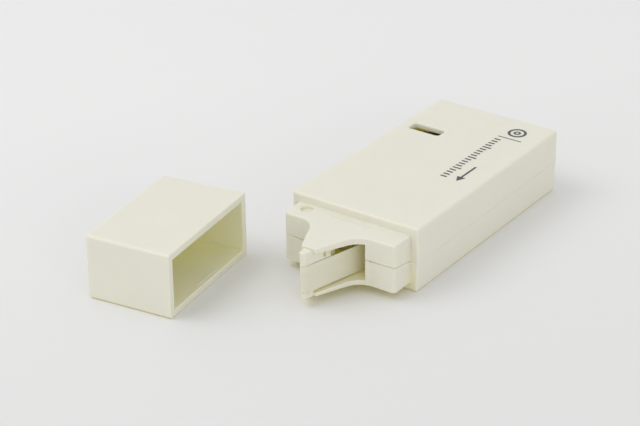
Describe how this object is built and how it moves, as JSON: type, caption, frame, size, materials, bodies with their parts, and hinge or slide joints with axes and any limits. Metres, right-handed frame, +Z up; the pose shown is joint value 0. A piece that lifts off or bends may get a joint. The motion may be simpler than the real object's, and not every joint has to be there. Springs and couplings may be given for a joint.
{
  "type": "correction tape roller",
  "caption": "Flat two-part casing with a stepped neck and an open nose, a tape blade standing on edge, geared tape reels inside, and a loose push-on cap lying beside it.",
  "frame": {"origin": "centre of the casing's underside", "axes": "+X along the casing towards the nose, +Z up out of the face with the window"},
  "size_m": [0.0796, 0.0488, 0.012],
  "materials": {
    "shell": "fine satin moulded cream plastic",
    "tip": "satin cream plastic",
    "tape": "matte cream coating",
    "liner": "smooth release liner",
    "reel": "plain white plastic",
    "gear": "plain dark grey plastic",
    "clutch": "dark rubber",
    "ink": "dark grey printed ink"
  },
  "bodies": {
    "case": {"upper_case": "shell", "lower_case": "shell", "transfer_tip": "tip", "tape_run": "tape", "liner_run": "liner"},
    "cap": {"cap": "shell"},
    "supply_reel": {"supply_reel": "reel", "supply_flange": "reel", "tape_roll": "tape"},
    "supply_gear": {"supply_gear": "gear", "clutch_ring": "clutch"},
    "idler_gear": {"idler_gear": "gear"},
    "take_up_reel": {"take_up_reel": "reel", "take_up_flange": "reel", "take_up_gear": "gear", "liner_roll": "liner"},
    "tape_roller": {"tape_roller": "reel"},
    "liner_roller": {"liner_roller": "reel"}
  },
  "joints": [
    {"name": "cap_pull", "type": "slide", "parent": "case", "child": "cap", "axis": [0.1392, -0.9903, 0], "range_m": [0, 0.0153]},
    {"name": "supply_spin", "type": "hinge", "parent": "case", "child": "supply_reel", "pos_m": [-0.01075, 0, 0.005], "axis": [0, 0, -1], "continuous": true},
    {"name": "supply_gear_spin", "type": "hinge", "parent": "case", "child": "supply_gear", "pos_m": [-0.01075, 0, 0.005], "axis": [0, 0, -1], "continuous": true},
    {"name": "idler_spin", "type": "hinge", "parent": "case", "child": "idler_gear", "pos_m": [0.00175, 0, 0.005], "axis": [0, 0, -1], "continuous": true},
    {"name": "take_up_spin", "type": "hinge", "parent": "case", "child": "take_up_reel", "pos_m": [0.00925, 0, 0.005], "axis": [0, 0, -1], "continuous": true},
    {"name": "tape_roller_spin", "type": "hinge", "parent": "case", "child": "tape_roller", "pos_m": [0.02035, 0.00335, 0.005], "axis": [0, 0, -1], "continuous": true},
    {"name": "liner_roller_spin", "type": "hinge", "parent": "case", "child": "liner_roller", "pos_m": [0.02035, -0.00411, 0.005], "axis": [0, 0, -1], "continuous": true}
  ],
  "couplings": [
    {"joint": "supply_gear_spin", "follows": "supply_spin", "ratio": 1},
    {"joint": "idler_spin", "follows": "supply_spin", "ratio": -2.5714},
    {"joint": "take_up_spin", "follows": "supply_spin", "ratio": 2.25},
    {"joint": "tape_roller_spin", "follows": "supply_spin", "ratio": 7.0769},
    {"joint": "liner_roller_spin", "follows": "supply_spin", "ratio": 7.0769}
  ]
}
